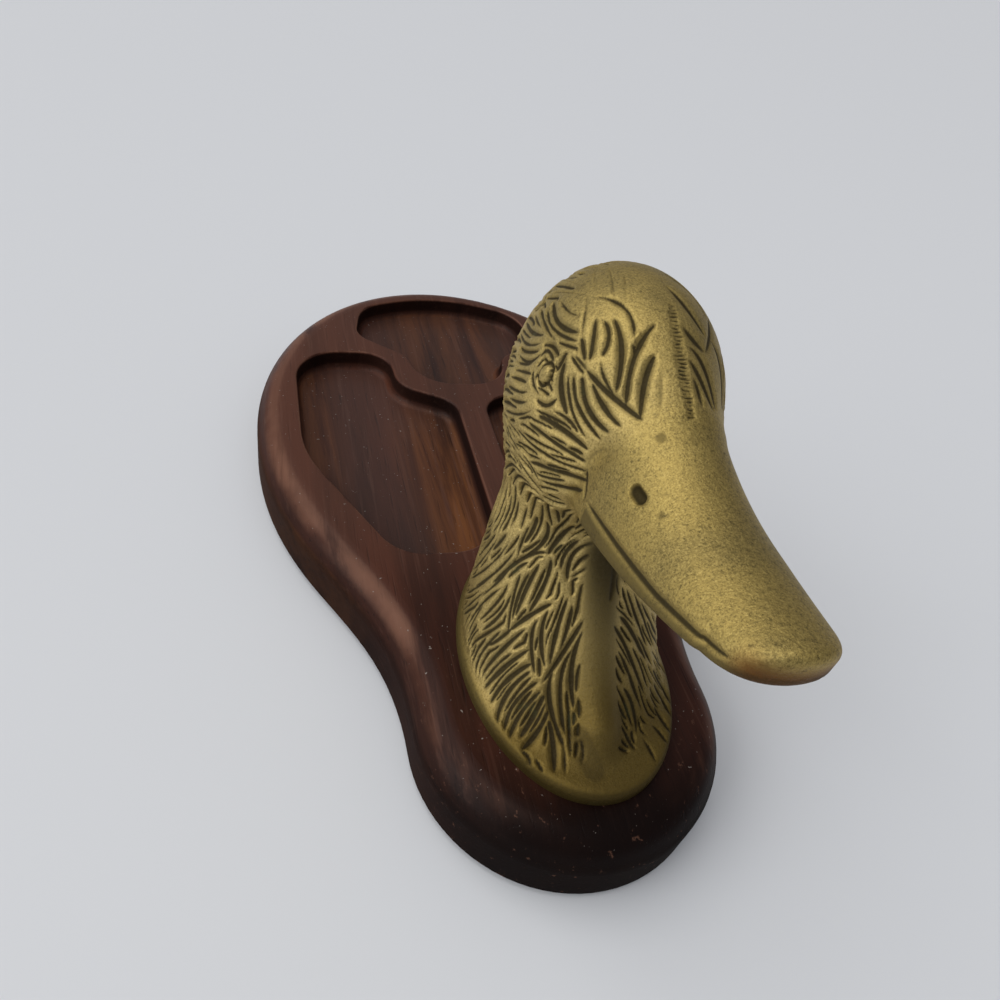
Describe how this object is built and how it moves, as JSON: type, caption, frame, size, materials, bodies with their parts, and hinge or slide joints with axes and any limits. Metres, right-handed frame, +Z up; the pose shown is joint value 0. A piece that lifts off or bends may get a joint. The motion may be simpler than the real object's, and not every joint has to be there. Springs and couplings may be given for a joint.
{
  "type": "duck head valet tray",
  "caption": "Hollow cast brass duck head and neck on a pear-shaped hardwood desk tray with routed wells for coins, keys and rings, screwed from below, with a felt underside.",
  "frame": {"origin": "on the table, under the middle of the tray's length and width", "axes": "+Z up, the tray's length along Y with the duck at the -Y end looking along -Y, the duck's left on +X"},
  "size_m": [0.15, 0.2556, 0.121],
  "materials": {
    "stained_wood": "semi-gloss stain",
    "felt": "pressed felt",
    "aged_brass": "aged cast brass with dark patina in the grooves",
    "screw_steel": "zinc plated"
  },
  "bodies": {
    "root": {"tray_base": "stained_wood", "base_felt": "felt", "head_half_left": "aged_brass", "head_half_right": "aged_brass", "mounting_screws": "screw_steel", "screw_washers": "screw_steel"}
  },
  "joints": []
}
